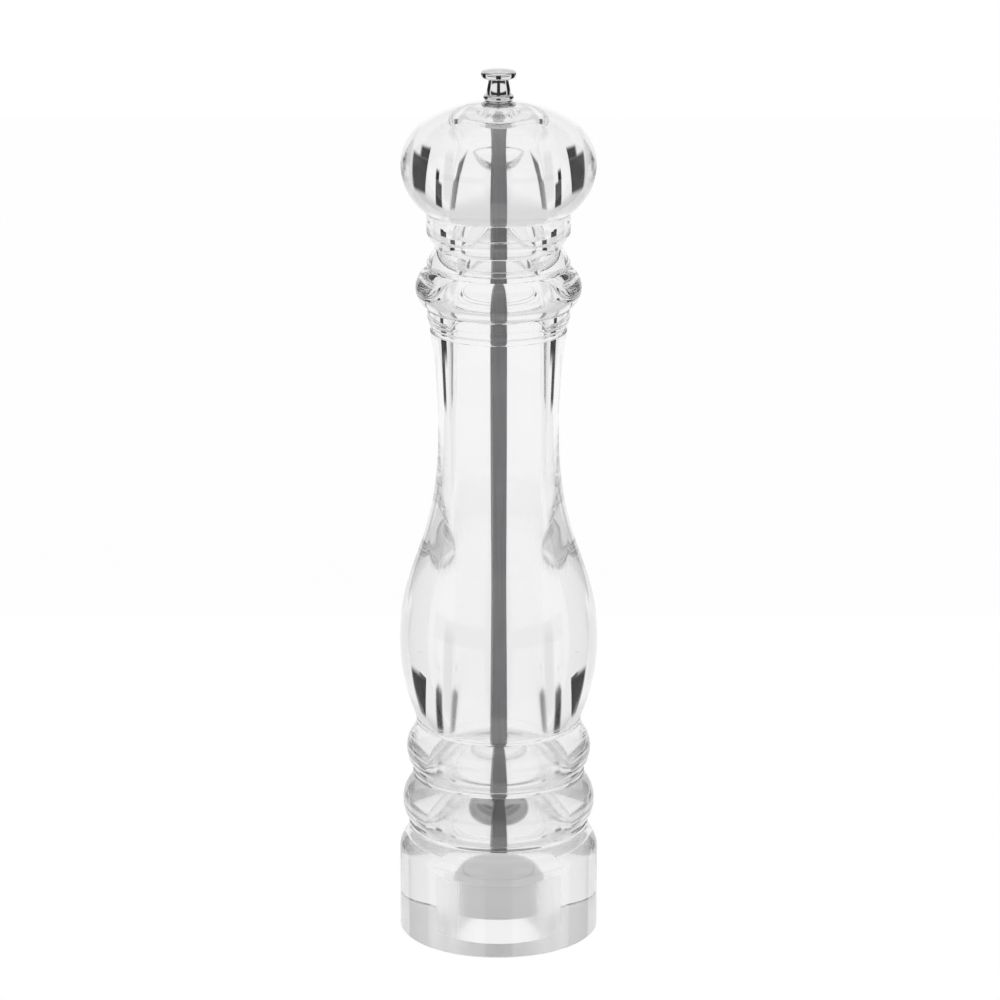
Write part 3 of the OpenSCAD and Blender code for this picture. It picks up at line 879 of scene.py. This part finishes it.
@dataclass
class DriveShaft:
    """The square bar that turns the inner burr, with a threaded stud at each end."""

    width: float = 0.0048
    twist: float = 12.0
    edge: float = 0.0003
    stud_r: float = 0.002
    thread_depth: float = 0.0003
    thread_pitch: float = 0.0007
    thread_foot: float = 0.1
    thread_crest: float = 0.45
    stud_up_h: float = 0.0082
    stud_low_h: float = 0.0046
    sunk: float = 0.0005
    facets: int = 64

    def stud(self, name: str, bottom: float, top: float) -> bpy.types.Object:
        """Turns a stud with a ring for each turn of its thread.

        Args:
            name: name of the stud.
            bottom: height of its lower end.
            top: height of its upper end.

        Returns:
            The stud.
        """
        root = self.stud_r - self.thread_depth
        made = Outline()
        made.to((0.0, bottom), (root, bottom))
        turns = int((top - bottom) / self.thread_pitch - 1.0)
        first = (bottom + top - turns * self.thread_pitch) / 2.0
        foot = self.thread_pitch * self.thread_foot
        crest = self.thread_pitch * self.thread_crest
        for i in range(turns):
            z = first + i * self.thread_pitch
            z_next = z + self.thread_pitch
            made.to((root, z + foot), (self.stud_r, z + crest))
            made.to((self.stud_r, z_next - crest), (root, z_next - foot))
        made.to((root, top), (0.0, top))
        return turned(name, made, self.facets, closed=False)

    def build(self) -> None:
        """Models the bar and its studs as one piece and dresses it."""
        low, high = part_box("drive_shaft")
        bottom, top = low.z + self.stud_low_h, high.z - self.stud_up_h
        upper = self.stud("shaft_stud_upper", top - self.sunk, high.z)
        lower = self.stud("shaft_stud_lower", low.z, bottom + self.sunk)
        clear_selection()
        bpy.ops.mesh.primitive_cube_add(
            size=1.0, location=(0.0, 0.0, (bottom + top) / 2.0),
            rotation=(0.0, 0.0, math.radians(self.twist)), scale=(self.width, self.width, top - bottom),
        )
        shaft = bpy.context.active_object
        shaft.name = shaft.data.name = "drive_shaft_drawn"
        settle(shaft)
        round_edges(shaft, self.edge)
        for stud in (upper, lower):
            stud.select_set(True)
        shaft.select_set(True)
        bpy.context.view_layer.objects.active = shaft
        bpy.ops.object.join()
        settle(shaft)
        dress(shaft, ALUMINIUM)
        place(shaft, Body.SPINDLE, Slot.ALUMINIUM, "drive_shaft")


@dataclass
class GrindSpring:
    """The coil spring that pushes the inner burr down."""

    wire_d: float = 0.0007
    coil_r: float = 0.0043
    turns: int = 3
    sides: int = 16
    steps: int = 96

    def build(self) -> None:
        """Winds the wire and dresses it."""
        low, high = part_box("grind_spring")
        rise = high.z - low.z - self.wire_d
        clear_selection()
        bpy.ops.mesh.primitive_circle_add(
            vertices=self.sides, radius=self.wire_d / 2.0, fill_type="NOTHING",
            location=(self.coil_r, 0.0, low.z + self.wire_d / 2.0),
            rotation=(math.radians(90.0), 0.0, 0.0),
        )
        spring = bpy.context.active_object
        spring.name = spring.data.name = "grind_spring_wound"
        settle(spring)
        winding = spring.modifiers.new("winding", "SCREW")
        winding.axis = "Z"
        winding.angle = FULL_TURN * self.turns
        winding.screw_offset = rise
        winding.steps = winding.render_steps = self.steps * self.turns
        winding.use_merge_vertices = False
        bpy.ops.object.modifier_apply(modifier=winding.name)
        bpy.ops.object.mode_set(mode="EDIT")
        bpy.ops.mesh.select_all(action="SELECT")
        bpy.ops.mesh.remove_doubles(threshold=MERGE)
        bpy.ops.mesh.fill_holes(sides=self.sides)
        bpy.ops.mesh.normals_make_consistent(inside=False)
        bpy.ops.object.mode_set(mode="OBJECT")
        settle(spring)
        dress(spring, SPRING_WIRE)
        place(spring, Body.TURNING_SET, Slot.SPRING, "grind_spring")


@dataclass
class Carried:
    """The pieces that keep their CAD shape and take a finish."""

    finishes: dict[str, Finish] = field(default_factory=lambda: {
        "drive_bush": STEEL, "knob_washer": STEEL, "bearing_bridge": NYLON, "shaft_bearing": ACETAL,
        "bridge_screws": STEEL, "burr_housing": NYLON, "stator_burr": CERAMIC, "keeper_ring": NYLON,
        "thrust_washer": STEEL, "spring_seat": STEEL, "rotor_burr": CERAMIC, "nut_washer": STEEL,
        "rotor_nut": STEEL,
    })

    def build(self) -> None:
        """Gives each carried node its finish."""
        for name, finish in self.finishes.items():
            dress(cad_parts[name], finish)
            log.info("%s: carried over", name)


# --------------------------------------------------------------------------------------------------
# Stage
# --------------------------------------------------------------------------------------------------


@dataclass(frozen=True)
class Zone:
    """A patch of the surroundings, the same on both sides of the mill.

    Attributes:
        side: azimuths of its two edges, in degrees from straight behind the mill.
        height: elevations of its two edges, in degrees.
        level: its brightness, where one is white.
        soft: width of its faded edge, in degrees.
        mirrored: whether only mirror-like surfaces show it.
    """

    side: tuple[float, float]
    height: tuple[float, float]
    level: float
    soft: float = 4.0
    mirrored: bool = False


@dataclass
class Studio:
    """The floor, the surroundings that light the mill, and the camera."""

    camera_at: tuple[float, float, float] = (0.00048, -1.602, 0.631)
    pitch: float = 16.553
    lens: float = 175.36
    sensor: float = 36.0
    clip_end: float = 50.0
    floor_half_width: float = 0.6
    floor_front: float = -0.9
    floor_back: float = 2.6
    floor_dark: Colour = (0.92, 0.92, 0.92)
    floor_light: Colour = (0.94, 0.94, 0.94)
    floor_scale: float = 3.0
    floor_glow: float = 0.85
    bounces: int = 24
    glossy_bounces: int = 12
    transparent_bounces: int = 16
    light: float = 1.0
    zones: tuple[Zone, ...] = (
        Zone((-1.0, 100.0), (10.0, 26.0), 0.75, 8.0),
        Zone((56.0, 80.0), (-24.0, 3.0), 0.85, 8.0),
        Zone((30.0, 42.0), (-12.0, -5.0), 0.02, 3.0),
        Zone((31.0, 52.0), (-6.0, 12.0), 0.02, 3.0),
        Zone((50.0, 90.0), (-50.0, 40.0), 0.02, 6.0, mirrored=True),
        Zone((164.0, 181.0), (-50.0, 50.0), 0.02, 4.0, mirrored=True),
        Zone((100.0, 181.0), (-9.0, 3.0), 0.03, 3.0, mirrored=True),
        Zone((-1.0, 181.0), (30.0, 60.0), 0.4, 8.0, mirrored=True),
    )

    def build_camera(self) -> None:
        """Sets up the camera, level side to side and pitched down."""
        data = bpy.data.cameras.new("camera")
        data.lens = self.lens
        data.sensor_width = self.sensor
        data.clip_end = self.clip_end
        camera = bpy.data.objects.new("camera", data)
        camera.location = self.camera_at
        camera.rotation_euler = (math.radians(90.0 - self.pitch), 0.0, 0.0)
        bpy.context.scene.collection.objects.link(camera)
        bpy.context.scene.camera = camera

    def seen(self, nodes: Nodes) -> bpy.types.NodeSocket:
        """Adds the test for rays that show the background, straight or by way of metal or acrylic.

        Args:
            nodes: the tree to add to.

        Returns:
            One for such a ray, else zero.
        """
        path = nodes.add("LightPath")
        mirrored = nodes.math("MAXIMUM", path.outputs["Is Glossy Ray"], path.outputs["Is Transmission Ray"])
        return nodes.math("MAXIMUM", path.outputs["Is Camera Ray"], mirrored)

    def band(
        self, nodes: Nodes, angle: bpy.types.NodeSocket, edges: tuple[float, float], soft: float,
    ) -> bpy.types.NodeSocket:
        """Adds a mask for one stretch of an angle, with faded edges.

        Args:
            nodes: the tree to add to.
            angle: the angle, in degrees.
            edges: where the stretch starts and ends.
            soft: width of each faded edge.

        Returns:
            One within the stretch, else zero.
        """
        half = soft / 2.0
        rise = nodes.add("MapRange", {"interpolation_type": "SMOOTHSTEP"}, Value=angle)
        fall = nodes.add("MapRange", {"interpolation_type": "SMOOTHSTEP"}, Value=angle)
        for node, edge, low, high in ((rise, edges[0], 0.0, 1.0), (fall, edges[1], 1.0, 0.0)):
            nodes.put(node, "From Min", edge - half)
            nodes.put(node, "From Max", edge + half)
            nodes.put(node, "To Min", low)
            nodes.put(node, "To Max", high)
        return nodes.math("MULTIPLY", rise.outputs[0], fall.outputs[0])

    def build_world(self) -> None:
        """Sets up white surroundings, with zones that only the clear and mirror-like pieces show."""
        world = bpy.data.worlds.new("surroundings")
        bpy.context.scene.world = world
        world.use_nodes = True
        nodes = Nodes(world.node_tree)
        way = nodes.add("SeparateXYZ")
        nodes.put(way, 0, nodes.add("TexCoord").outputs["Generated"])
        x, y, z = way.outputs
        azimuth = nodes.math("ABSOLUTE", nodes.math("DEGREES", nodes.math("ARCTAN2", x, y)))
        elevation = nodes.math("DEGREES", nodes.math("ARCSINE", z))
        path = nodes.add("LightPath")
        indirect = nodes.math("SUBTRACT", 1.0, path.outputs["Is Camera Ray"])
        opaque = nodes.math("SUBTRACT", 1.0, path.outputs["Is Transmission Ray"])
        glossy = nodes.math("MULTIPLY", path.outputs["Is Glossy Ray"], opaque)
        colour: object = rgba(WHITE)
        for zone in self.zones:
            across = self.band(nodes, azimuth, zone.side, zone.soft)
            up = self.band(nodes, elevation, zone.height, zone.soft)
            share = nodes.math("MULTIPLY", across, up)
            share = nodes.math("MULTIPLY", share, glossy if zone.mirrored else indirect)
            grey = (zone.level, zone.level, zone.level)
            colour = nodes.mix(share, colour, rgba(grey))
        shown = nodes.add("Background", Color=colour, Strength=1.0)
        light = nodes.add("Background", Color=rgba(WHITE), Strength=self.light)
        mixed = nodes.add("MixShader")
        nodes.put(mixed, 0, self.seen(nodes))
        nodes.put(mixed, 1, light.outputs[0])
        nodes.put(mixed, 2, shown.outputs[0])
        nodes.add("OutputWorld", Surface=mixed.outputs[0])

    def build_floor(self) -> None:
        """Lays a strip of plain white floor that keeps a faint shadow."""
        clear_selection()
        middle = (self.floor_front + self.floor_back) / 2.0
        depth = self.floor_back - self.floor_front
        bpy.ops.mesh.primitive_plane_add(
            size=1.0, location=(0.0, middle, 0.0), scale=(2.0 * self.floor_half_width, depth, 1.0),
        )
        floor = bpy.context.active_object
        floor.name = floor.data.name = "floor"
        bpy.ops.object.transform_apply(location=True, rotation=False, scale=True)
        made = bpy.data.materials.new("floor_white")
        made.use_nodes = True
        nodes = Nodes(made.node_tree)
        cloud = nodes.add("TexNoise", Scale=self.floor_scale)
        colour = nodes.mix(cloud.outputs[0], rgba(self.floor_dark), rgba(self.floor_light))
        matte = nodes.add("BsdfDiffuse", Color=colour)
        glow = nodes.add("Emission", Color=rgba(WHITE), Strength=1.0)
        mixed = nodes.add("MixShader")
        nodes.put(mixed, 0, nodes.math("MULTIPLY", self.seen(nodes), self.floor_glow))
        nodes.put(mixed, 1, matte.outputs[0])
        nodes.put(mixed, 2, glow.outputs[0])
        nodes.add("OutputMaterial", Surface=mixed.outputs[0])
        floor.data.materials.append(made)

    def build(self) -> None:
        """Sets up the whole stage."""
        self.build_camera()
        self.build_world()
        self.build_floor()
        scene = bpy.context.scene
        scene.view_settings.view_transform = "Standard"
        scene.cycles.max_bounces = self.bounces
        scene.cycles.transmission_bounces = self.bounces
        scene.cycles.glossy_bounces = self.glossy_bounces
        scene.cycles.transparent_max_bounces = self.transparent_bounces


def main() -> None:
    """Builds the mill and its stage."""
    logging.basicConfig(level=logging.INFO, format="%(message)s")
    for assembly in (BodyShell(), HeadShell(), TopKnob(), DriveShaft(), GrindSpring(), Carried(), Studio()):
        assembly.build()


if __name__ == "__main__":
    main()
